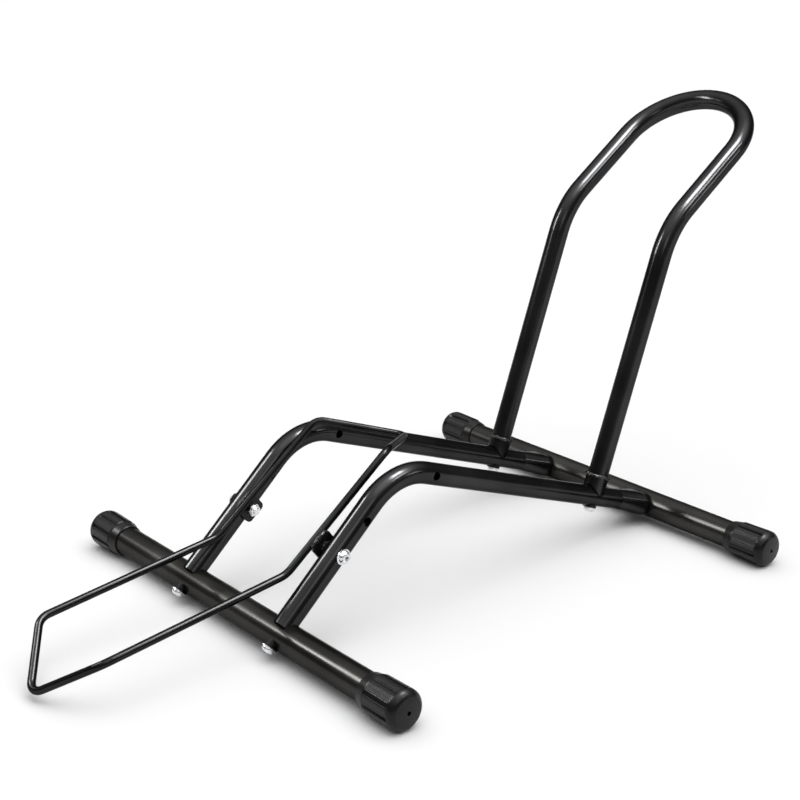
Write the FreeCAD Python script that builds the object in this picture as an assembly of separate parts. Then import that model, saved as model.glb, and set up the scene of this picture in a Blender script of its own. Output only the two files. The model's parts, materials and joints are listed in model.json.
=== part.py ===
import FreeCAD, Part
import math
import os

# Floor bike rack: two cross tubes with plastic end caps, two bent rails between them, a hoop that
# holds the tyre, and a rocking cradle of round rod that hangs on two pivot bolts. A wheel rolls over
# the low end of the cradle, tips it, and the raised low end then holds the wheel from behind.
#
# Millimetres, +Z up. The layout below counts x from the front cross tube's axis towards the hoop,
# y from the plane of symmetry and z from the floor; every solid is then shifted along x, so that the
# origin lies on the floor in the middle of the rack's length.

# ---- Driving dimensions -------------------------------------------------------------------------

# Tubes and rod
cross_tube_d = 25.4
rail_tube_d = 19.0
tube_wall = 1.5
rod_d = 6.5

# Stance
wheelbase = 435.4            # between the axes of the two cross tubes
overall_width = 423.4        # over the end caps
cap_d = 33.4                 # largest diameter of a cap, which is what stands on the floor
half_gauge = 63.7            # plane of symmetry to the axis of a rail and of a hoop leg

# Rails
rail_front_angle = 42.8      # climb from the front tube
rail_front_offset = 6.7      # rail's axis above the front tube's axis, square to the rail
rail_rear_angle = 19.7       # fall towards the rear tube
rail_rear_offset = -1.5      # rail's axis above the rear tube's axis, square to the rail
rail_bend_r = 57.0
rail_front_trim = 5.0        # end of the rail's upper wall, ahead of the front tube's axis
spare_hole_x = (76.6, 150.6)
spare_hole_d = 7.5
flare_start = 46.0           # the rear end widens from here to cup the rear tube,
flare_full = 18.0            # and is at its widest from here, both ahead of that tube's axis
flare_half_width = 17.2
flare_half_height = 10.9
flare_squareness = 3.0       # exponent of the rounded mouth: 2 would be an ellipse
flare_points = 48

# Hoop
hoop_foot_x = 358.0          # where a leg's axis meets its rail's axis
hoop_leg_lean = 18.9         # from vertical, towards the rear
hoop_corner_z = 285.6
hoop_bend_r = 81.0
hoop_top_lean = 54.6         # from vertical, above the bend
hoop_top_length = 169.3      # from the bend's corner to the crown of the arch
foot_wall = 1.0              # pressed foot that sleeves the end of a leg
foot_height = 20.0           # top of the foot above the rail's axis
leg_end_height = 12.0        # end of the leg tube inside its foot
bead_h = 1.2                 # weld bead round the top of the foot: half its height,
bead_w = 1.7                 # and how far it stands out from the leg

# Cradle
pivot_x = 51.7
cradle_half_width = 47.0     # plane of symmetry to the axis of a side rod
cradle_low_angle = 7.3
cradle_high_angle = 38.06
cradle_arm = 11.45           # pivot to the axis of the upper side rod
cradle_knee_x = 15.0
cradle_front_x = -151.0      # where the side rods turn in at the low end
cradle_nose = (-186.3, 5.5)  # corner of the V at the low end
cradle_rear_x = 118.3        # where the side rods turn in at the high end
cradle_tail = (180.4, 125.2) # corner of the V at the high end
nose_r = 11.0
front_bend_r = 15.2
knee_r = 22.0
rear_bend_r = 14.5
tail_r = 6.3

# Cradle brackets
bracket_t = 3.0
bracket_half_length = 10.2
bracket_below_pivot = 8.7
bracket_corner_r = 4.0
plate_bead_r = 1.7           # weld bead along a bracket's upper edge,
plate_bead_out = 0.6         # outwards from the plate's inner face
plate_bead_up = 0.8          # and upwards from the side rod's axis

# Fasteners, all M6
bolt_d = 6.0
bolt_hole_d = 6.5
pivot_play = 0.05            # radial, between a bracket's hole and its bolt
side_play = 0.2              # between a bracket and what is beside it
thread_play = 0.02           # radial, between a bolt and the thread it is screwed into
flange_d = 13.4              # flange round the foot of a bolt's head
flange_t = 0.9
dome_d = 10.8                # dome on the flange
dome_flat_d = 5.6            # flat top of the dome
dome_bulge = 0.8             # of the dome's side, beyond a straight cone
head_h = 4.4
socket_af = 4.0              # hexagon socket in the head
socket_depth = 2.2
tip_chamfer = 0.8
nut_af = 10.0
nut_h = 6.0
nut_collar_h = 1.6
nut_collar_d = 9.4
nut_collar_top_d = 8.2
nut_chamfer = 0.5
washer_d = 13.0
saddle_t = 1.1               # rim of a saddle washer, at its thinnest
saddle_boss_d = 8.0          # part that reaches down to a cross tube
saddle_reach = 8.0
plug_length = 14.0
front_plug_ahead = 22.0      # start of a front plug, beyond the front tube's axis
thread_spare = 2.0           # from a bolt's end to the far end of its plug
tip_out = 1.0                # pivot bolt's end, beyond its nut

# Caps, measured inwards from the outer end face
cap_length = 43.9
cap_ribs_start = 34.0
cap_grip_d = 32.4            # over the ribs where they start
cap_widest = 9.6
cap_corner = 8.2
cap_face_d = 24.8
cap_end_wall = 5.0
cap_mouth_d = 27.0
cap_collar_d = 30.8
cap_hole_d = 3.6
cap_grooves = 10
cap_groove_w = 3.4
cap_groove_floor_d = 30.2
cap_groove_turn = 8.0        # degrees to the first groove, from +X towards +Z
groove_run_out = 3.0         # slope at the outer end of a groove
score_w = 0.5
score_depth = 0.4
score_run_out = 1.0
score_angle = 8.5            # on both sides of the middle of a land
cap_collar_run = 2.0         # slope between the collar and the ribs
cap_collar_step = 1.2        # straight part of the collar's top
cap_mouth_lip = 0.6
cap_face_drop = 0.8          # outer edge of the face, below the crown at its middle
cap_corner_mid = (1.4, 3.2)  # middle of the rounded corner: in from the side, down from the crown
cap_face_mid_drop = 0.2

# ---- Derived places -----------------------------------------------------------------------------

cross_r = cross_tube_d / 2
rail_r = rail_tube_d / 2
rail_bore_r = rail_r - tube_wall
rod_r = rod_d / 2
axis_z = cap_d / 2
cap_end_y = overall_width / 2
Y_AXIS = FreeCAD.Vector(0, 1, 0)


def flat(x, z):
    """A point or direction in the plane of symmetry."""
    return FreeCAD.Vector(x, 0, z)


def heading(angle):
    """Unit direction in the plane of symmetry, by degrees above +X."""
    return flat(math.cos(math.radians(angle)), math.sin(math.radians(angle)))


def left_of(direction):
    """Unit direction square to another in the plane of symmetry, turned towards +Z from +X."""
    return flat(-direction.z, direction.x)


def crossing(point_a, way_a, point_b, way_b):
    """Where two lines in the plane of symmetry cross."""
    gap = point_b - point_a
    along = (gap.x * way_b.z - gap.z * way_b.x) / (way_a.x * way_b.z - way_a.z * way_b.x)
    return point_a + way_a * along


def at_side(point, y):
    """The same point, moved to a plane beside the plane of symmetry."""
    return FreeCAD.Vector(point.x, y, point.z)


front_axis = flat(0, axis_z)
rear_axis = flat(wheelbase, axis_z)

rail_up = heading(rail_front_angle)
rail_down = heading(-rail_rear_angle)
rail_front_foot = front_axis + left_of(rail_up) * rail_front_offset
rail_rear_foot = rear_axis + left_of(rail_down) * rail_rear_offset
rail_corner = crossing(rail_front_foot, rail_up, rail_rear_foot, rail_down)

leg_up = heading(90 - hoop_leg_lean)
top_up = heading(90 - hoop_top_lean)
leg_foot = crossing(rail_rear_foot, rail_down, flat(hoop_foot_x, 0), flat(0, 1))
hoop_corner = crossing(leg_foot, leg_up, flat(0, hoop_corner_z), flat(1, 0))
arch_centre = hoop_corner + top_up * (hoop_top_length - half_gauge)
crown = hoop_corner + top_up * hoop_top_length

pivot = crossing(rail_front_foot, rail_up, flat(pivot_x, 0), flat(0, 1))
low_way = heading(cradle_low_angle)
high_way = heading(cradle_high_angle)
high_point = pivot + left_of(high_way) * cradle_arm
cradle_knee = crossing(high_point, high_way, flat(cradle_knee_x, 0), flat(0, 1))
cradle_front = crossing(cradle_knee, low_way, flat(cradle_front_x, 0), flat(0, 1))
cradle_rear = crossing(high_point, high_way, flat(cradle_rear_x, 0), flat(0, 1))

bracket_in_y = cradle_half_width + rod_r
bracket_out_y = bracket_in_y + bracket_t
rail_in_y = half_gauge - rail_r
rail_out_y = half_gauge + rail_r


# ---- Shapes used more than once -----------------------------------------------------------------

def corner_arc(before, corner, after, radius):
    """Tangent arc that rounds a corner, as its start, middle and end."""
    way_in = (corner - before).normalize()
    way_out = (after - corner).normalize()
    half_turn = way_in.getAngle(way_out) / 2
    reach = radius * math.tan(half_turn)
    inwards = (way_out - way_in).normalize()
    middle = corner + inwards * (radius / math.cos(half_turn) - radius)
    return corner - way_in * reach, middle, corner + way_out * reach


def line(start, end):
    return Part.LineSegment(start, end).toShape()


def arc(start, middle, end):
    return Part.Arc(start, middle, end).toShape()


def round_bar(path, radius):
    """Solid bar along a wire of straight runs and tangent arcs."""
    first = path.OrderedEdges[0]
    start = first.valueAt(first.FirstParameter)
    way = first.tangentAt(first.FirstParameter)
    profile = Part.Wire([Part.Circle(start, way, radius).toShape()])
    return path.makePipeShell([profile], True, False)


def rod(start, end, radius):
    """Cylinder between two points."""
    span = end - start
    return Part.makeCylinder(radius, span.Length, start, span)


def cross_bar(centre, radius):
    """Cylinder across the whole rack, for a cross tube or for what it cuts away."""
    return rod(at_side(centre, -overall_width), at_side(centre, overall_width), radius)


def mirrored(shape):
    return shape.mirror(FreeCAD.Vector(0, 0, 0), Y_AXIS)


def polygon_face(points):
    return Part.Face(Part.makePolygon(points + points[:1]))


def prism(points, depth):
    """Straight-sided solid from a list of corners."""
    return polygon_face(points).extrude(depth)


def spun(face, start, way):
    """Solid of revolution: a face in the XZ plane is turned about +Z, and then set on a line."""
    solid = face.revolve(FreeCAD.Vector(0, 0, 0), FreeCAD.Vector(0, 0, 1), 360)
    solid.Placement = FreeCAD.Placement(start, FreeCAD.Rotation(FreeCAD.Vector(0, 0, 1), way))
    return solid


def turned(start, way, profile):
    """Solid of revolution about a line, from (distance along it, radius) points."""
    return spun(polygon_face([flat(radius, along) for along, radius in profile]), start, way)


def hexagon(start, way, across_flats, depth):
    """Six-sided prism, standing on a point and rising along a direction."""
    turn = FreeCAD.Rotation(FreeCAD.Vector(0, 0, 1), way)
    corner_r = across_flats / 2 / math.cos(math.pi / 6)
    corners = []
    for k in range(6):
        angle = k * math.pi / 3
        corner = FreeCAD.Vector(corner_r * math.cos(angle), corner_r * math.sin(angle), 0)
        corners.append(start + turn.multVec(corner))
    return prism(corners, way * depth)


def head_section():
    """Half section of a bolt's head above its seat at z = 0: a thin flange under a flat-topped dome."""
    dome_r = dome_d / 2
    flat_r = dome_flat_d / 2
    middle = flat((dome_r + flat_r) / 2 + dome_bulge, -(flange_t + head_h) / 2 - dome_bulge / 2)
    corners = [flat(0, -head_h), flat(0, 0), flat(flange_d / 2, 0), flat(flange_d / 2, -flange_t / 2),
               flat(dome_r, -flange_t)]
    edges = [line(start, end) for start, end in zip(corners, corners[1:])]
    edges += [arc(flat(dome_r, -flange_t), middle, flat(flat_r, -head_h)),
              line(flat(flat_r, -head_h), flat(0, -head_h))]
    return Part.Face(Part.Wire(edges))


def button_bolt(seat, way, length):
    """Flanged socket-head bolt: the head stands out from its seat, the shank runs along way."""
    socket = hexagon(seat - way * head_h, way, socket_af, socket_depth)
    shank = turned(seat, way, [(0, 0), (0, bolt_d / 2), (length - tip_chamfer, bolt_d / 2),
                               (length, bolt_d / 2 - tip_chamfer), (length, 0)])
    return spun(head_section(), seat, way).cut(socket).fuse(shank).removeSplitter()


def threaded_plug(start, way):
    """Round plug with a threaded hole, fixed inside the end of a tube."""
    end = start + way * plug_length
    return rod(start, end, rail_bore_r).cut(rod(start, end, bolt_d / 2 + thread_play))


def saddle_washer(seat, way, boss_d, tube):
    """Washer with a flat rim under a bolt's head, and with a boss that is hollowed to sit on a tube."""
    rim = rod(seat, seat + way * saddle_t, washer_d / 2)
    boss = rod(seat, seat + way * saddle_reach, boss_d / 2)
    hole = rod(seat, seat + way * saddle_reach, bolt_hole_d / 2)
    return rim.fuse(boss).cut(hole).cut(tube)


# ---- Cross tubes and caps -----------------------------------------------------------------------

def rail_bolt_hole(foot, way):
    """Both holes of a rail bolt through a cross tube, on both sides of the rack."""
    holes = []
    for side in (-1, 1):
        centre = at_side(foot, side * half_gauge)
        holes.append(rod(centre - way * cross_tube_d, centre + way * cross_tube_d, bolt_hole_d / 2))
    return Part.makeCompound(holes)


def cross_tube(centre, foot, way):
    end_y = cap_end_y - cap_end_wall
    outer = rod(at_side(centre, -end_y), at_side(centre, end_y), cross_r)
    bore = rod(at_side(centre, -end_y), at_side(centre, end_y), cross_r - tube_wall)
    return outer.cut(bore).cut(rail_bolt_hole(foot, way))


def cap_blank():
    """Cap without its grip, standing on its mouth along +Z, with the axis as its centre line."""
    mouth_r = cap_mouth_d / 2
    wide_r = cap_d / 2
    face_r = cap_face_d / 2
    shoulder_z = cap_length - cap_corner
    face_z = cap_length - cap_face_drop
    widest_z = cap_length - cap_widest
    bore_z = cap_length - cap_end_wall
    ribs_z = cap_length - cap_ribs_start
    collar_z = ribs_z - cap_collar_run
    collar_r = cap_collar_d / 2
    corners = [flat(cross_r, bore_z), flat(cross_r, 0), flat(mouth_r, 0),
               flat(mouth_r + cap_mouth_lip, cap_mouth_lip), flat(collar_r, collar_z),
               flat(collar_r, collar_z + cap_collar_step), flat(cap_grip_d / 2, ribs_z),
               flat(wide_r, widest_z), flat(wide_r, shoulder_z)]
    corner_middle = flat(wide_r - cap_corner_mid[0], cap_length - cap_corner_mid[1])
    face_middle = flat(face_r / 2, cap_length - cap_face_mid_drop)
    edges = [line(start, end) for start, end in zip(corners, corners[1:])]
    edges += [arc(flat(wide_r, shoulder_z), corner_middle, flat(face_r, face_z)),
              arc(flat(face_r, face_z), face_middle, flat(0, cap_length)),
              line(flat(0, cap_length), flat(0, bore_z)),
              line(flat(0, bore_z), flat(cross_r, bore_z))]
    return spun(Part.Face(Part.Wire(edges)), flat(0, 0), flat(0, 1))


def groove_cutter(floor_r, width, end_slope):
    """Prism that cuts one lengthwise groove along +X's side of a cap and runs out at its outer end."""
    spare = 1.0
    start_z = cap_length - cap_ribs_start - spare
    end_z = cap_length - cap_widest + spare
    top_r = cap_d / 2 + spare
    outline = ((floor_r, start_z), (floor_r, end_z), (top_r, end_z + end_slope), (top_r, start_z))
    points = [FreeCAD.Vector(radius, -width / 2, z) for radius, z in outline]
    return prism(points, FreeCAD.Vector(0, width, 0))


def cap_cutters():
    """Grooves of the grip, and two fine score lines on each land between them."""
    groove = groove_cutter(cap_groove_floor_d / 2, cap_groove_w, groove_run_out)
    score = groove_cutter(cap_grip_d / 2 - score_depth, score_w, score_run_out)
    pitch = 360 / cap_grooves
    land = pitch / 2
    cutters = []
    for k in range(cap_grooves):
        turn = cap_groove_turn + k * pitch
        for cutter, extra in ((groove, 0), (score, land - score_angle), (score, land + score_angle)):
            copy = cutter.copy()
            copy.rotate(FreeCAD.Vector(0, 0, 0), FreeCAD.Vector(0, 0, 1), turn + extra)
            cutters.append(copy)
    return Part.makeCompound(cutters)


def end_cap(centre, side):
    """Cap on one end of a cross tube: side is -1 for the near end and 1 for the far end."""
    hole = rod(FreeCAD.Vector(0, 0, 0), FreeCAD.Vector(0, 0, cap_length + 1), cap_hole_d / 2)
    cap = cap_blank().cut(cap_cutters()).cut(hole)
    cap.rotate(FreeCAD.Vector(0, 0, 0), FreeCAD.Vector(1, 0, 0), 90)
    cap.translate(at_side(centre, cap_length - cap_end_y))
    return cap if side < 0 else mirrored(cap)


# ---- Rails --------------------------------------------------------------------------------------

def mouth(centre, way, half_width, half_height):
    """Rounded rectangle square to a direction in the plane of symmetry, with its width across the rack."""
    up = left_of(way)
    points = []
    for k in range(flare_points):
        angle = 2 * math.pi * k / flare_points
        across, along = math.cos(angle), math.sin(angle)
        size = (abs(across) ** flare_squareness + abs(along) ** flare_squareness) ** (-1 / flare_squareness)
        points.append(centre + Y_AXIS * (half_width * across * size) + up * (half_height * along * size))
    curve = Part.BSplineCurve()
    curve.interpolate(points, PeriodicFlag=True)
    return Part.Wire([curve.toShape()])


def round_end(centre, way, radius):
    """Circle square to a direction in the plane of symmetry, which starts at its side like a mouth."""
    turn = FreeCAD.Rotation(Y_AXIS, FreeCAD.Vector(0, 0, 0), way, "ZXY")
    circle = Part.Circle(FreeCAD.Vector(0, 0, 0), FreeCAD.Vector(0, 0, 1), radius).toShape()
    circle.Placement = FreeCAD.Placement(centre, turn)
    return Part.Wire([circle])


def rail_bar(y, inset):
    """The rail as a full bar with its flared rear end; inset makes the same shape for the bore."""
    lead, middle, tail = corner_arc(rail_front_foot, rail_corner, rail_rear_foot, rail_bend_r)
    places = (rail_front_foot, lead, middle, tail, rail_rear_foot - rail_down * flare_start)
    points = [at_side(point, y) for point in places]
    path = Part.Wire([line(points[0], points[1]), arc(*points[1:4]), line(points[3], points[4])])
    bar = round_bar(path, rail_r - inset)
    sections = [round_end(points[4], rail_down, rail_r - inset)]
    for ahead in (flare_full, 0):
        centre = at_side(rail_rear_foot - rail_down * ahead, y)
        sections.append(mouth(centre, rail_down, flare_half_width - inset, flare_half_height - inset))
    return bar.fuse(Part.makeLoft(sections, True, True))


def hoop_bolt_hole(y):
    centre = at_side(leg_foot, y)
    return rod(centre - leg_up * rail_tube_d, centre + leg_up * rail_tube_d, bolt_hole_d / 2)


def rail_side_hole(centre, y, diameter):
    """Hole straight through both walls of a rail, across the rack."""
    return rod(at_side(centre, y - rail_tube_d), at_side(centre, y + rail_tube_d), diameter / 2)


def spare_hole_centres():
    """On the rail's axis: one on the front slope and one behind the bend."""
    front = crossing(rail_front_foot, rail_up, flat(spare_hole_x[0], 0), flat(0, 1))
    rear = crossing(rail_rear_foot, rail_down, flat(spare_hole_x[1], 0), flat(0, 1))
    return front, rear


def rail(side):
    y = side * half_gauge
    tube = rail_bar(y, 0).cut(rail_bar(y, tube_wall))
    tube = tube.cut(cross_bar(front_axis, cross_r)).cut(cross_bar(rear_axis, cross_r))
    trim = at_side(rail_front_foot, y) + rail_up * rail_front_trim
    tube = tube.cut(rod(trim - rail_up * cross_tube_d, trim, cross_tube_d))
    holes = [hoop_bolt_hole(y), rail_side_hole(pivot, y, bolt_hole_d)]
    holes += [rail_side_hole(centre, y, spare_hole_d) for centre in spare_hole_centres()]
    return tube.cut(Part.makeCompound(holes))


# ---- Hoop ---------------------------------------------------------------------------------------

def hoop():
    lead, middle, tail = corner_arc(leg_foot, hoop_corner, crown, hoop_bend_r)
    leg_end = leg_foot + leg_up * leg_end_height
    edges = []
    for side in (-1, 1):
        start, low, mid, high, top = [at_side(point, side * half_gauge)
                                      for point in (leg_end, lead, middle, tail, arch_centre)]
        edges += [line(start, low), arc(low, mid, high), line(high, top)]
    arch = arc(at_side(arch_centre, -half_gauge), crown, at_side(arch_centre, half_gauge))
    path = Part.Wire(Part.__sortEdges__(edges + [arch]))
    return round_bar(path, rail_r).cut(round_bar(path, rail_bore_r))


def foot_section(outer_r):
    """Half section of a hoop foot: its sleeve and the weld bead round its top."""
    top = foot_height + bead_h
    edges = [line(flat(rail_r, 0), flat(outer_r, 0)),
             line(flat(outer_r, 0), flat(outer_r, foot_height - bead_h)),
             arc(flat(outer_r, foot_height - bead_h), flat(rail_r + bead_w, foot_height), flat(rail_r, top)),
             line(flat(rail_r, top), flat(rail_r, 0))]
    return Part.Face(Part.Wire(edges))


def hoop_foot(side):
    """Pressed foot: a sleeve on the leg, whose two ears straddle the rail."""
    base = at_side(leg_foot, side * half_gauge)
    outer_r = rail_r + foot_wall
    reach = 1.5 * outer_r

    def at(along, up):
        return base - Y_AXIS * outer_r + rail_down * along + leg_up * up

    ears = prism([at(0, 0), at(reach, reach), at(reach, -foot_wall), at(-reach, -foot_wall),
                  at(-reach, reach)], Y_AXIS * (2 * outer_r))
    rail_axis_bar = rod(base - rail_down * reach, base + rail_down * reach, rail_r)
    return spun(foot_section(outer_r), base, leg_up).cut(ears).cut(rail_axis_bar)


# ---- Cradle -------------------------------------------------------------------------------------

def cradle_half_path():
    """One side of the closed loop, from the middle of the low V to the middle of the high V."""
    nose = flat(*cradle_nose)
    tail = flat(*cradle_tail)
    far = [at_side(point, cradle_half_width) for point in (cradle_front, cradle_knee, cradle_rear)]
    corners = [nose, *far, tail]
    radii = [front_bend_r, knee_r, rear_bend_r]
    nose_arc = corner_arc(mirrored_point(far[0]), nose, far[0], nose_r)
    tail_arc = corner_arc(far[2], tail, mirrored_point(far[2]), tail_r)
    edges = [half_arc(nose_arc, True)]
    start = nose_arc[2]
    for k, radius in enumerate(radii):
        bend = corner_arc(corners[k], corners[k + 1], corners[k + 2], radius)
        edges += [line(start, bend[0]), arc(*bend)]
        start = bend[2]
    edges += [line(start, tail_arc[0]), half_arc(tail_arc, False)]
    return Part.Wire(edges)


def mirrored_point(point):
    return FreeCAD.Vector(point.x, -point.y, point.z)


def half_arc(points, second):
    """The first or second half of an arc given by its start, middle and end."""
    circle = Part.Arc(*points)
    first, last = circle.FirstParameter, circle.LastParameter
    middle = (first + last) / 2
    start, end = (middle, last) if second else (first, middle)
    return Part.Arc(circle.value(start), circle.value((start + end) / 2), circle.value(end)).toShape()


def cradle_loop():
    half = round_bar(cradle_half_path(), rod_r)
    return half.fuse(mirrored(half)).removeSplitter()


def bracket_outline(y):
    """Face of a bracket: square where it meets the rod, round at its two lower corners."""
    below = left_of(high_way) * -1
    centre = at_side(pivot, y)

    def at(along, down):
        return centre + high_way * along + below * down

    left, right, top, bottom = -bracket_half_length, bracket_half_length, -cradle_arm, bracket_below_pivot
    right_bend = corner_arc(at(right, top), at(right, bottom), at(left, bottom), bracket_corner_r)
    left_bend = corner_arc(at(right, bottom), at(left, bottom), at(left, top), bracket_corner_r)
    edges = [line(at(left, top), at(right, top)), line(at(right, top), right_bend[0]), arc(*right_bend),
             line(right_bend[2], left_bend[0]), arc(*left_bend), line(left_bend[2], at(left, top))]
    return Part.Face(Part.Wire(edges))


def bracket(side):
    """Plate on the outside of a side rod, with the weld bead that holds it."""
    plate = bracket_outline(bracket_in_y).extrude(Y_AXIS * bracket_t)
    hole = rod(at_side(pivot, 0), at_side(pivot, half_gauge), bolt_d / 2 + pivot_play)
    bead_centre = at_side(high_point, bracket_in_y + plate_bead_out) + left_of(high_way) * plate_bead_up
    bead_end = high_way * (bracket_half_length - plate_bead_r)
    bead = rod(bead_centre - bead_end, bead_centre + bead_end, plate_bead_r)
    side_rod_way = high_way * (bracket_half_length * 2)
    side_rod_centre = at_side(high_point, cradle_half_width)
    side_rod = rod(side_rod_centre - side_rod_way, side_rod_centre + side_rod_way, rod_r)
    shape = plate.fuse(bead).cut(side_rod).cut(hole)
    return shape if side > 0 else mirrored(shape)


# ---- Fasteners ----------------------------------------------------------------------------------

def tube_joint(foot, way, tube_r, tubes, boss_d, plug_ahead):
    """Bolts, washers and plugs on both sides of the rack, each bolt through a tube into a plug beyond."""
    bolts, washers, plugs = [], [], []
    seat_back = tube_r + saddle_t
    for side in (-1, 1):
        centre = at_side(foot, side * half_gauge)
        seat = centre - way * seat_back
        bolts.append(button_bolt(seat, way, seat_back + plug_ahead + plug_length - thread_spare))
        washers.append(saddle_washer(seat, way, boss_d, tubes))
        plugs.append(threaded_plug(centre + way * plug_ahead, way))
    return [Part.makeCompound(group) for group in (bolts, washers, plugs)]


def rail_bars_at_feet():
    """Full bars in place of both rails, where the hoop's legs stand on them."""
    bars = []
    for side in (-1, 1):
        centre = at_side(leg_foot, side * half_gauge)
        bars.append(rod(centre - rail_down * rail_tube_d, centre + rail_down * rail_tube_d, rail_r))
    return Part.makeCompound(bars)


def pivot_bolt(side):
    """Bolt through a rail and a bracket; its end stands a little out of the nut."""
    nut_end_y = bracket_in_y - side_play - nut_h
    return button_bolt(at_side(pivot, side * rail_out_y), Y_AXIS * -side, rail_out_y - nut_end_y + tip_out)


def pivot_washer(side):
    """Flat washer between the rail and the bracket."""
    start = at_side(pivot, side * (bracket_out_y + side_play))
    end = at_side(pivot, side * rail_in_y)
    return rod(start, end, washer_d / 2).cut(rod(start, end, bolt_hole_d / 2))


def pivot_nut(side):
    """Lock nut: a hexagon with a round collar that holds the locking ring."""
    way = Y_AXIS * -side
    start = at_side(pivot, side * (bracket_in_y - side_play))
    flat_r = nut_af / 2
    corner_r = flat_r / math.cos(math.pi / 6)
    collar_start = nut_h - nut_collar_h
    outline = turned(start, way, [(0, 0), (0, flat_r), (nut_chamfer, corner_r), (collar_start, corner_r),
                                  (collar_start, nut_collar_d / 2), (nut_h - nut_chamfer, nut_collar_d / 2),
                                  (nut_h, nut_collar_top_d / 2), (nut_h, 0)])
    body = hexagon(start, way, nut_af, nut_h).common(outline)
    return body.cut(rod(start, start + way * nut_h, bolt_d / 2 + thread_play))


# ---- Assembly -----------------------------------------------------------------------------------

def sub_parts():
    parts = {"front_cross_tube": cross_tube(front_axis, rail_front_foot, rail_up),
             "rear_cross_tube": cross_tube(rear_axis, rail_rear_foot, rail_down),
             "hoop": hoop(),
             "cradle_loop": cradle_loop()}
    front_bar = cross_bar(front_axis, cross_r)
    rear_bar = cross_bar(rear_axis, cross_r)
    joints = {"front_rail": tube_joint(rail_front_foot, rail_up, cross_r, front_bar, saddle_boss_d,
                                       front_plug_ahead),
              "rear_rail": tube_joint(rail_rear_foot, rail_down * -1, cross_r, rear_bar, saddle_boss_d,
                                      flare_start),
              "hoop": tube_joint(leg_foot, leg_up, rail_r, rail_bars_at_feet(), washer_d,
                                 leg_end_height)}
    for place, group in joints.items():
        for kind, shape in zip(("bolts", "saddle_washers", "threaded_plugs"), group):
            parts[f"{place}_{kind}"] = shape
    for name, side in (("near", -1), ("far", 1)):
        parts[f"front_cap_{name}"] = end_cap(front_axis, side)
        parts[f"rear_cap_{name}"] = end_cap(rear_axis, side)
        parts[f"rail_{name}"] = rail(side)
        parts[f"hoop_foot_{name}"] = hoop_foot(side)
        parts[f"cradle_bracket_{name}"] = bracket(side)
        parts[f"pivot_bolt_{name}"] = pivot_bolt(side)
        parts[f"pivot_washer_{name}"] = pivot_washer(side)
        parts[f"pivot_nut_{name}"] = pivot_nut(side)
    return parts


def middle_of_length():
    """Half way between the foremost point of the cradle and the rearmost point of the hoop."""
    nose = corner_arc(at_side(cradle_front, cradle_half_width), flat(*cradle_nose),
                      at_side(cradle_front, -cradle_half_width), nose_r)[1]
    return (nose.x - rod_r + crown.x + rail_r) / 2


os.makedirs("parts", exist_ok=True)
shift = flat(-middle_of_length(), 0)
for name, shape in sub_parts().items():
    shape.translate(shift)
    shape.exportStep(f"parts/{name}.step")
    solids = shape.Solids
    print(name, "valid" if shape.isValid() else "NOT VALID", len(solids), round(shape.Volume, 1))
spare_front, spare_rear = spare_hole_centres()
for name, point in (("front axis", front_axis), ("rear axis", rear_axis), ("pivot", pivot),
                    ("front spare hole", spare_front), ("rear spare hole", spare_rear),
                    ("rail corner", rail_corner), ("leg foot", leg_foot), ("crown", crown)):
    placed = point + shift
    print(name, round(placed.x, 3), round(placed.z, 3))
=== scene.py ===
import json
import math

import bmesh
import bpy
from mathutils import Matrix, Vector, noise


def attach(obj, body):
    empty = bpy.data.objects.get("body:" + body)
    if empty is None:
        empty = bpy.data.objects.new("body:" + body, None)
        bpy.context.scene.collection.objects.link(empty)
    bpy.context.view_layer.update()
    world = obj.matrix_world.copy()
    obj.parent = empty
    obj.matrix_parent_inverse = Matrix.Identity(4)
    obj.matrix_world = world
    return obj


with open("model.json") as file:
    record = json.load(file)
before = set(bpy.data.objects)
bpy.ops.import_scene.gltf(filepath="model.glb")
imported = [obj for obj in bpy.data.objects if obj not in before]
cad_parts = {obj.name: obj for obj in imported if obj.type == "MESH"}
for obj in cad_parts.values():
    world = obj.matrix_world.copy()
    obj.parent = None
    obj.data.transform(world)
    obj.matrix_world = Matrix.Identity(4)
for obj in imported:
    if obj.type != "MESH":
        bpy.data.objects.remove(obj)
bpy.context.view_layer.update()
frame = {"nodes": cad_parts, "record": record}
nodes = frame["nodes"]

MM = 0.001


# ---- Materials ----------------------------------------------------------------------------------

NOISE_ROUGHNESS = 0.55

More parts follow.
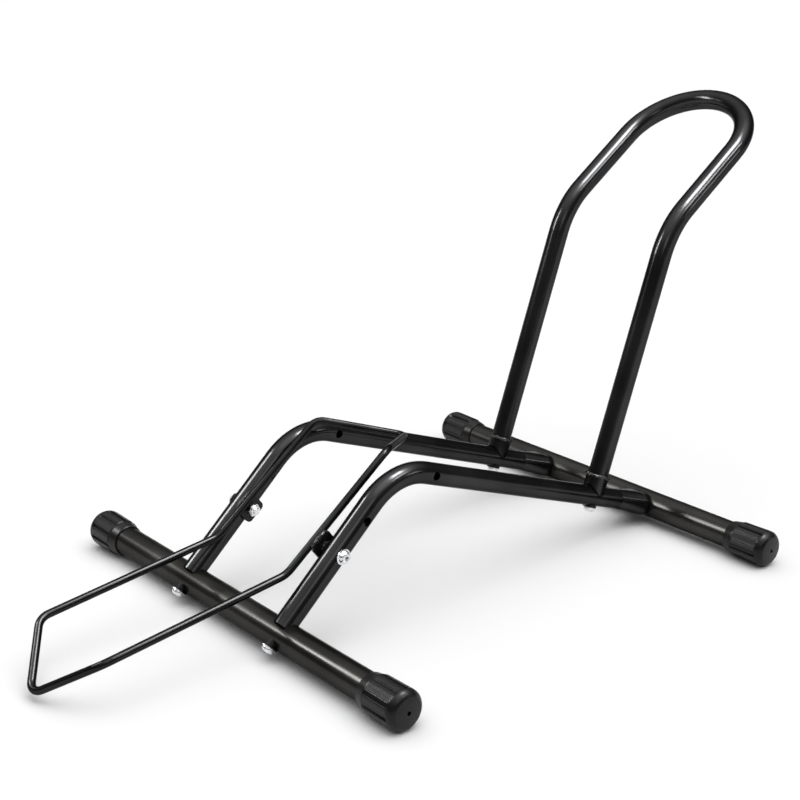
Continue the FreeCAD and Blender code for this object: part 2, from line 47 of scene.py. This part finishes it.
class Shader:
    """A small wrapper that adds nodes to one material and links them."""

    def __init__(self, name, base, roughness, metallic=0.0, specular=0.5, rim=1.0):
        self.material = bpy.data.materials.new(name)
        self.material.use_nodes = True
        self.tree = self.material.node_tree
        self.surface = self.tree.nodes["Principled BSDF"]
        self.surface.inputs["Base Color"].default_value = (*base, 1.0)
        self.surface.inputs["Roughness"].default_value = roughness
        self.surface.inputs["Metallic"].default_value = metallic
        self.surface.inputs["Specular IOR Level"].default_value = specular
        self.surface.inputs["Specular Tint"].default_value = (rim, rim, rim, 1.0)
        self.place = self.add("ShaderNodeTexCoord")

    def add(self, kind, **settings):
        node = self.tree.nodes.new(kind)
        for key, value in settings.items():
            setattr(node, key, value)
        return node

    def link(self, output, target):
        self.tree.links.new(output, target)

    def noise(self, scale, detail):
        """Noise in the object's own metres."""
        node = self.add("ShaderNodeTexNoise")
        node.inputs["Scale"].default_value = scale
        node.inputs["Detail"].default_value = detail
        node.inputs["Roughness"].default_value = NOISE_ROUGHNESS
        self.link(self.place.outputs["Object"], node.inputs["Vector"])
        return node.outputs["Fac"]

    def maths(self, operation, *values):
        """One Math node; its values are textures or numbers."""
        node = self.add("ShaderNodeMath", operation=operation)
        for socket, value in zip(node.inputs, values):
            if isinstance(value, float):
                socket.default_value = value
            else:
                self.link(value, socket)
        return node.outputs["Value"]

    def spread(self, value, low, high, start=0.3, end=0.7):
        """Maps a 0 to 1 texture onto a range."""
        node = self.add("ShaderNodeMapRange")
        node.inputs["From Min"].default_value = start
        node.inputs["From Max"].default_value = end
        node.inputs["To Min"].default_value = low
        node.inputs["To Max"].default_value = high
        self.link(value, node.inputs["Value"])
        return node.outputs["Result"]

    def colours(self, value, stops):
        """Colours the surface by a texture, between (position, colour) stops."""
        ramp = self.add("ShaderNodeValToRGB")
        elements = ramp.color_ramp.elements
        elements[0].position, elements[0].color = stops[0][0], (*stops[0][1], 1.0)
        elements[1].position, elements[1].color = stops[-1][0], (*stops[-1][1], 1.0)
        for position, colour in stops[1:-1]:
            elements.new(position).color = (*colour, 1.0)
        self.link(value, ramp.inputs["Fac"])
        self.link(ramp.outputs["Color"], self.surface.inputs["Base Color"])

    def rough(self, value, low, high):
        self.link(self.spread(value, low, high), self.surface.inputs["Roughness"])

    def bumps(self, layers):
        """Stacks bump layers, each (texture, distance in metres, strength)."""
        previous = None
        for value, distance, strength in layers:
            bump = self.add("ShaderNodeBump")
            bump.inputs["Distance"].default_value = distance
            bump.inputs["Strength"].default_value = strength
            self.link(value, bump.inputs["Height"])
            if previous:
                self.link(previous, bump.inputs["Normal"])
            previous = bump.outputs["Normal"]
        self.link(previous, self.surface.inputs["Normal"])


ENAMEL_RIM = 0.4                      # share of a metal's edge reflection that the enamel keeps
ENAMEL_BUMP = 0.35


def enamel(name, colour, roughness, metallic, patch_scale, peel, grain):
    """Black stove enamel: faint patches of gloss and colour, an orange peel and a fine grain.

    peel and grain are each (scale, depth in metres).
    """
    dark = tuple(0.75 * value for value in colour)
    light = tuple(1.25 * value for value in colour)
    shader = Shader(name, colour, roughness, metallic=metallic, rim=ENAMEL_RIM)
    patches = shader.noise(patch_scale, 3.0)
    shader.colours(patches, [(0.3, dark), (0.7, light)])
    shader.rough(patches, roughness * 0.8, roughness * 1.2)
    shader.bumps([(shader.noise(scale, 2.0), depth, ENAMEL_BUMP) for scale, depth in (peel, grain)])
    return shader.material


def tube_enamel():
    return enamel("tube_enamel", (0.036, 0.036, 0.037), roughness=0.19, metallic=0.9,
                  patch_scale=18.0, peel=(260.0, 0.00003), grain=(1400.0, 0.00001))


def cross_tube_enamel():
    return enamel("cross_tube_enamel", (0.042, 0.041, 0.0385), roughness=0.26, metallic=0.85,
                  patch_scale=14.0, peel=(320.0, 0.00003), grain=(2600.0, 0.00002))


def rod_enamel():
    return enamel("rod_enamel", (0.022, 0.022, 0.0225), roughness=0.2, metallic=0.9,
                  patch_scale=30.0, peel=(380.0, 0.00002), grain=(1500.0, 0.00001))


def bracket_enamel():
    return enamel("bracket_enamel", (0.024, 0.024, 0.024), roughness=0.3, metallic=0.8,
                  patch_scale=60.0, peel=(500.0, 0.00006), grain=(1800.0, 0.00002))


def weld_enamel():
    """Enamel over a weld: ripples and spatter pits, with painted glints where the spatter is
    coloured pale grey.
    """
    shader = Shader("weld_enamel", (0.05, 0.05, 0.05), 0.28, metallic=0.8, rim=0.3)
    spatter_with_painted_glints = shader.noise(900.0, 3.0)
    # the pale grey stop at the top of this ramp is a painted glint on the spatter, not a colour of
    # the enamel
    shader.colours(spatter_with_painted_glints, [(0.35, (0.03, 0.03, 0.03)), (0.6, (0.07, 0.07, 0.07)),
                          (0.72, (0.30, 0.30, 0.29))])
    shader.rough(spatter_with_painted_glints, 0.18, 0.42)
    shader.bumps([(spatter_with_painted_glints, 0.0003, 0.8)])
    return shader.material


TUBES_MIDDLE = 16.423 * MM            # layout X halfway between the axes of the two cross tubes
TUBES_HALF_GAP = 217.7 * MM           # from there to either axis
TUBE_HEIGHT = 16.7 * MM               # of those axes above the floor
GRIP_START = (176.5 * MM, 178.5 * MM)  # distance from the middle plane over which the grip fades in
GRIP_END = (202.0 * MM, 204.5 * MM)    # and out again
LAND_RISE = (15.2 * MM, 16.1 * MM)    # from the floor of a groove to the top of a land
SCORES = 84.0                         # fine scored lines round a cap


def cap_plastic():
    """Moulded black plastic, grained and finely scored on the lands between the grooves, with a
    painted sheen: the lands are coloured paler than the grooves, mottled at random.
    """
    shader = Shader("cap_plastic", (0.006, 0.006, 0.0057), 0.3, specular=0.24)
    place = shader.add("ShaderNodeSeparateXYZ")
    shader.link(shader.place.outputs["Object"], place.inputs["Vector"])
    along = shader.maths("SUBTRACT", place.outputs["X"], TUBES_MIDDLE)
    across = shader.maths("SUBTRACT", shader.maths("ABSOLUTE", along), TUBES_HALF_GAP)
    height = shader.maths("SUBTRACT", place.outputs["Z"], TUBE_HEIGHT)
    radius = shader.maths("SQRT", shader.maths("ADD", shader.maths("MULTIPLY", across, across),
                                               shader.maths("MULTIPLY", height, height)))
    turn = shader.maths("ARCTAN2", height, across)
    reach = shader.maths("ABSOLUTE", place.outputs["Y"])
    grip = shader.maths("MULTIPLY", shader.spread(reach, 0.0, 1.0, *GRIP_START),
                        shader.spread(reach, 1.0, 0.0, *GRIP_END))
    land = shader.maths("MULTIPLY", grip, shader.spread(radius, 0.0, 1.0, *LAND_RISE))
    grain = shader.noise(1500.0, 3.0)
    # painted sheen: the lands are coloured paler than the grooves and faces, mottled at random by a
    # noise
    painted_land_sheen = shader.maths("MULTIPLY", land, shader.spread(shader.noise(500.0, 3.0), 0.5, 1.0))
    shader.colours(painted_land_sheen, [(0.0, (0.002, 0.002, 0.0019)), (1.0, (0.022, 0.022, 0.021))])
    shader.rough(grain, 0.24, 0.42)
    ripple = shader.maths("SINE", shader.maths("MULTIPLY", turn, SCORES))
    scores = shader.maths("MULTIPLY", land, ripple)
    shader.bumps([(grain, 0.00008, 0.7), (scores, 0.00009, 0.8)])
    return shader.material


def washer_plastic():
    """Plain black plastic of the saddle washers."""
    shader = Shader("washer_plastic", (0.006, 0.006, 0.006), 0.5, specular=0.2)
    grain = shader.noise(900.0, 3.0)
    shader.colours(grain, [(0.3, (0.004, 0.004, 0.004)), (0.7, (0.008, 0.008, 0.008))])
    shader.rough(grain, 0.45, 0.6)
    shader.bumps([(grain, 0.00003, 0.4)])
    return shader.material


def zinc_plate():
    """Bright zinc-plated steel with faint clouding."""
    shader = Shader("zinc_plate", (0.8, 0.81, 0.83), 0.2, metallic=1.0)
    clouds = shader.noise(420.0, 4.0)
    shader.colours(clouds, [(0.3, (0.66, 0.67, 0.70)), (0.5, (0.80, 0.81, 0.83)),
                            (0.72, (0.90, 0.90, 0.89))])
    shader.rough(clouds, 0.16, 0.34)
    shader.bumps([(shader.noise(1500.0, 3.0), 0.00002, 0.35)])
    return shader.material


def plug_steel():
    """Plain turned steel of the plugs inside the tube ends."""
    shader = Shader("plug_steel", (0.5, 0.5, 0.5), 0.4, metallic=1.0)
    grain = shader.noise(700.0, 4.0)
    shader.colours(grain, [(0.3, (0.42, 0.42, 0.43)), (0.7, (0.56, 0.56, 0.55))])
    shader.rough(grain, 0.35, 0.5)
    shader.bumps([(grain, 0.00002, 0.4)])
    return shader.material


MAKERS = (tube_enamel, cross_tube_enamel, rod_enamel, bracket_enamel, weld_enamel, cap_plastic,
          washer_plastic, zinc_plate, plug_steel)
MATERIALS = {make.__name__: make() for make in MAKERS}


def dress_frame():
    """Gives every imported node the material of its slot."""
    for part in frame["record"]["subparts"]:
        piece = nodes[part["node"]]
        for slot in piece.material_slots:
            slot.material = MATERIALS[part["material_slot"]]


# ---- Welds --------------------------------------------------------------------------------------

LEG_FOOT = Vector((156.723, 0.0, 42.82)) * MM        # where a hoop leg's axis meets its rail's
LEG_LEAN = math.radians(18.9)                        # from upright, towards +X
PIVOT = Vector((-149.577, 0.0, 73.706)) * MM
HIGH_ANGLE = math.radians(38.06)                     # climb of the cradle's upper rods
HALF_GAUGE = 63.7 * MM                               # middle plane to a rail's axis
FOOT_HEIGHT = 20.0 * MM                              # up the leg to the top of its foot
RING_RADIUS = 10.5 * MM
RING_BEAD = 1.6 * MM
RING_STATIONS = 96
ROD_OFFSET = 11.45 * MM                              # pivot to the axis of the upper side rod
PLATE_BEAD = 1.7 * MM
PLATE_BEAD_HALF = 8.8 * MM                           # half the length of a bead
PLATE_BEAD_LIFT = 1.3 * MM                           # above the rod's axis
PLATE_BEAD_Y = 51.4 * MM
PLATE_STATIONS = 36
LUMP_SCALE = 420.0
LUMP_SHARE = 0.6                                     # of a bead's radius
END_TAPER = 0.35                                     # exponent of an open bead's rounded ends
OBLIQUE = Vector((0.31, 0.57, 0.76))                 # lies along none of the beads
ROUND_STEPS = 14


def lumpy_tube(name, stations, radius, closed):
    """Weld bead along (centre, along) stations, with a lumpy radius and closed or rounded ends."""
    mesh = bmesh.new()
    rings = []
    for k, (centre, along) in enumerate(stations):
        side = along.cross(OBLIQUE).normalized()
        other = along.cross(side).normalized()
        taper = 1.0 if closed else math.sin(math.pi * (k + 0.5) / len(stations)) ** END_TAPER
        ring = []
        for step in range(ROUND_STEPS):
            turn = 2 * math.pi * step / ROUND_STEPS
            out = side * math.cos(turn) + other * math.sin(turn)
            lump = noise.noise((centre + out * radius) * LUMP_SCALE)
            ring.append(mesh.verts.new(centre + out * radius * taper * (1.0 + LUMP_SHARE * lump)))
        rings.append(ring)
    followers = rings[1:] + rings[:1] if closed else rings[1:]
    for ring, following in zip(rings, followers):
        for step in range(ROUND_STEPS):
            after = (step + 1) % ROUND_STEPS
            mesh.faces.new((ring[step], ring[after], following[after], following[step]))
    if not closed:
        mesh.faces.new(rings[0][::-1])
        mesh.faces.new(rings[-1])
    bmesh.ops.recalc_face_normals(mesh, faces=mesh.faces)
    data = bpy.data.meshes.new(name)
    mesh.to_mesh(data)
    mesh.free()
    for polygon in data.polygons:
        polygon.use_smooth = True
    data.materials.append(MATERIALS["weld_enamel"])
    piece = bpy.data.objects.new(name, data)
    bpy.context.scene.collection.objects.link(piece)
    return piece


def foot_weld(name, side):
    """Ring of weld round the top of a hoop foot."""
    up = Vector((math.sin(LEG_LEAN), 0.0, math.cos(LEG_LEAN)))
    across = Vector((0.0, 1.0, 0.0))
    ahead = across.cross(up)
    centre = LEG_FOOT + across * (side * HALF_GAUGE) + up * FOOT_HEIGHT
    stations = []
    for k in range(RING_STATIONS):
        turn = 2 * math.pi * k / RING_STATIONS
        out = ahead * math.cos(turn) + across * math.sin(turn)
        along = across * math.cos(turn) - ahead * math.sin(turn)
        stations.append((centre + out * RING_RADIUS, along))
    piece = lumpy_tube(name, stations, RING_BEAD, True)
    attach(piece, "frame")


def plate_weld(name, side):
    """Bead between a cradle bracket's upper edge and the side rod."""
    along = Vector((math.cos(HIGH_ANGLE), 0.0, math.sin(HIGH_ANGLE)))
    up = Vector((-along.z, 0.0, along.x))
    centre = PIVOT + up * (ROD_OFFSET + PLATE_BEAD_LIFT) + Vector((0.0, side * PLATE_BEAD_Y, 0.0))
    stations = []
    for k in range(PLATE_STATIONS):
        share = 2 * k / (PLATE_STATIONS - 1) - 1
        stations.append((centre + along * PLATE_BEAD_HALF * share, along))
    piece = lumpy_tube(name, stations, PLATE_BEAD, False)
    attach(piece, "cradle")


def make_welds():
    for where, side in (("near", -1), ("far", 1)):
        foot_weld(f"foot_weld_{where}", side)
        plate_weld(f"plate_weld_{where}", side)


# ---- Stage --------------------------------------------------------------------------------------

# height of a direction, from level at 0 to straight up at 1, and the sky's brightness there
SKY = ((0.0, 0.3), (0.07, 0.12), (0.2, 0.05), (0.36, 0.1), (0.55, 0.22), (0.78, 0.62), (1.0, 1.0))
SKY_STRENGTH = 1.8
FLOOR_HALF = 30.0
FLOOR_COLOUR = (0.93, 0.93, 0.93, 1.0)


def make_world():
    """A studio that is bright overhead, dark below that and a little paler at the horizon."""
    world = bpy.data.worlds.new("studio")
    bpy.context.scene.world = world
    world.use_nodes = True
    tree = world.node_tree
    place = tree.nodes.new("ShaderNodeTexCoord")
    parts = tree.nodes.new("ShaderNodeSeparateXYZ")
    ramp = tree.nodes.new("ShaderNodeValToRGB")
    tree.links.new(place.outputs["Generated"], parts.inputs["Vector"])
    tree.links.new(parts.outputs["Z"], ramp.inputs["Fac"])
    elements = ramp.color_ramp.elements
    lowest, highest = SKY[0][1], SKY[-1][1]
    elements[0].position, elements[0].color = SKY[0][0], (lowest, lowest, lowest, 1.0)
    elements[1].position, elements[1].color = SKY[-1][0], (highest, highest, highest, 1.0)
    for height, level in SKY[1:-1]:
        elements.new(height).color = (level, level, level, 1.0)
    background = tree.nodes["Background"]
    background.inputs["Strength"].default_value = SKY_STRENGTH
    tree.links.new(ramp.outputs["Color"], background.inputs["Color"])


def make_floor():
    half = FLOOR_HALF
    corners = [(-half, -half, 0), (half, -half, 0), (half, half, 0), (-half, half, 0)]
    mesh = bpy.data.meshes.new("floor")
    mesh.from_pydata(corners, [], [(0, 1, 2, 3)])
    floor = bpy.data.objects.new("floor", mesh)
    bpy.context.scene.collection.objects.link(floor)
    material = bpy.data.materials.new("floor_paper")
    material.use_nodes = True
    surface = material.node_tree.nodes["Principled BSDF"]
    surface.inputs["Base Color"].default_value = FLOOR_COLOUR
    surface.inputs["Roughness"].default_value = 0.9
    surface.inputs["Specular IOR Level"].default_value = 0.1
    mesh.materials.append(material)


def aim(light, place, target):
    light.location = place
    light.rotation_euler = (Vector(target) - Vector(place)).to_track_quat("-Z", "Y").to_euler()
    bpy.context.scene.collection.objects.link(light)


def strip_light(name, place, target, size, power):
    """Soft box that shows as a streak in gloss, and adds nothing to the floor's own brightness."""
    data = bpy.data.lights.new(name, "AREA")
    data.shape = "RECTANGLE"
    data.size, data.size_y = size
    data.energy = power
    light = bpy.data.objects.new(name, data)
    light.visible_diffuse = False
    aim(light, place, target)


def sun_light(name, place, strength, softness):
    data = bpy.data.lights.new(name, "SUN")
    data.energy = strength
    data.angle = math.radians(softness)
    aim(bpy.data.objects.new(name, data), place, (0.0, 0.0, 0.0))


# name, place, target, size and watts of each soft box, placed where the streaks come from
STRIPS = (("left_box", (-0.77, 0.76, 0.93), (-0.20, -0.12, 0.02), (0.15, 0.52), 9.0),
          ("far_left_box", (-0.77, 1.45, 0.90), (-0.20, 0.12, 0.02), (0.25, 0.30), 0.8),
          ("top_box", (0.32, -0.34, 1.50), (0.28, -0.05, 0.30), (0.45, 0.50), 23.0),
          ("right_box", (0.59, -1.15, 1.47), (0.28, 0.0, 0.30), (0.60, 0.15), 7.0),
          ("low_box", (1.05, -1.40, 0.75), (0.28, 0.0, 0.30), (0.30, 0.30), 1.6),
          ("front_box", (-0.72, -1.20, 1.05), (-0.12, 0.0, 0.10), (0.50, 0.40), 1.2))


SUN_PLACE = (0.12, -0.3, 0.95)
SUN_STRENGTH = 0.75
SUN_SOFTNESS = 60.0           # degrees


def make_lights():
    sun_light("overhead", SUN_PLACE, SUN_STRENGTH, SUN_SOFTNESS)
    for name, place, target, size, power in STRIPS:
        strip_light(name, place, target, size, power)


# ---- Camera -------------------------------------------------------------------------------------

CAMERA_PLACE = (-0.81636, -0.88967, 0.56833)
CAMERA_AZIMUTH = -41.56       # degrees, from looking along +Y
CAMERA_DROP = 19.02           # degrees below level
CAMERA_ROLL = -1.09           # degrees
FOCAL_PIXELS = 1465.5         # focal length in pixels of the photograph
PHOTO_PIXELS = 800
HALF_PIXEL = 0.5 / PHOTO_PIXELS
SENSOR_MM = 36.0
CAMERA_REACH = 100.0          # metres


def make_camera():
    azimuth = math.radians(CAMERA_AZIMUTH)
    drop = math.radians(CAMERA_DROP)
    roll = math.radians(CAMERA_ROLL)
    forward = Vector((-math.sin(azimuth) * math.cos(drop),
                      math.cos(azimuth) * math.cos(drop),
                      -math.sin(drop)))
    level_right = forward.cross(Vector((0, 0, 1))).normalized()
    level_down = forward.cross(level_right)
    right = level_right * math.cos(roll) + level_down * math.sin(roll)
    down = level_down * math.cos(roll) - level_right * math.sin(roll)
    data = bpy.data.cameras.new("camera")
    data.sensor_width = SENSOR_MM
    data.lens = FOCAL_PIXELS / PHOTO_PIXELS * SENSOR_MM
    data.shift_x = -HALF_PIXEL
    data.shift_y = HALF_PIXEL
    data.clip_end = CAMERA_REACH
    camera = bpy.data.objects.new("camera", data)
    turn = Matrix((right, -down, -forward)).transposed()
    camera.matrix_world = Matrix.Translation(CAMERA_PLACE) @ turn.to_4x4()
    bpy.context.scene.collection.objects.link(camera)
    bpy.context.scene.camera = camera


dress_frame()
make_welds()
make_world()
make_floor()
make_lights()
make_camera()
bpy.context.scene.view_settings.view_transform = "Standard"
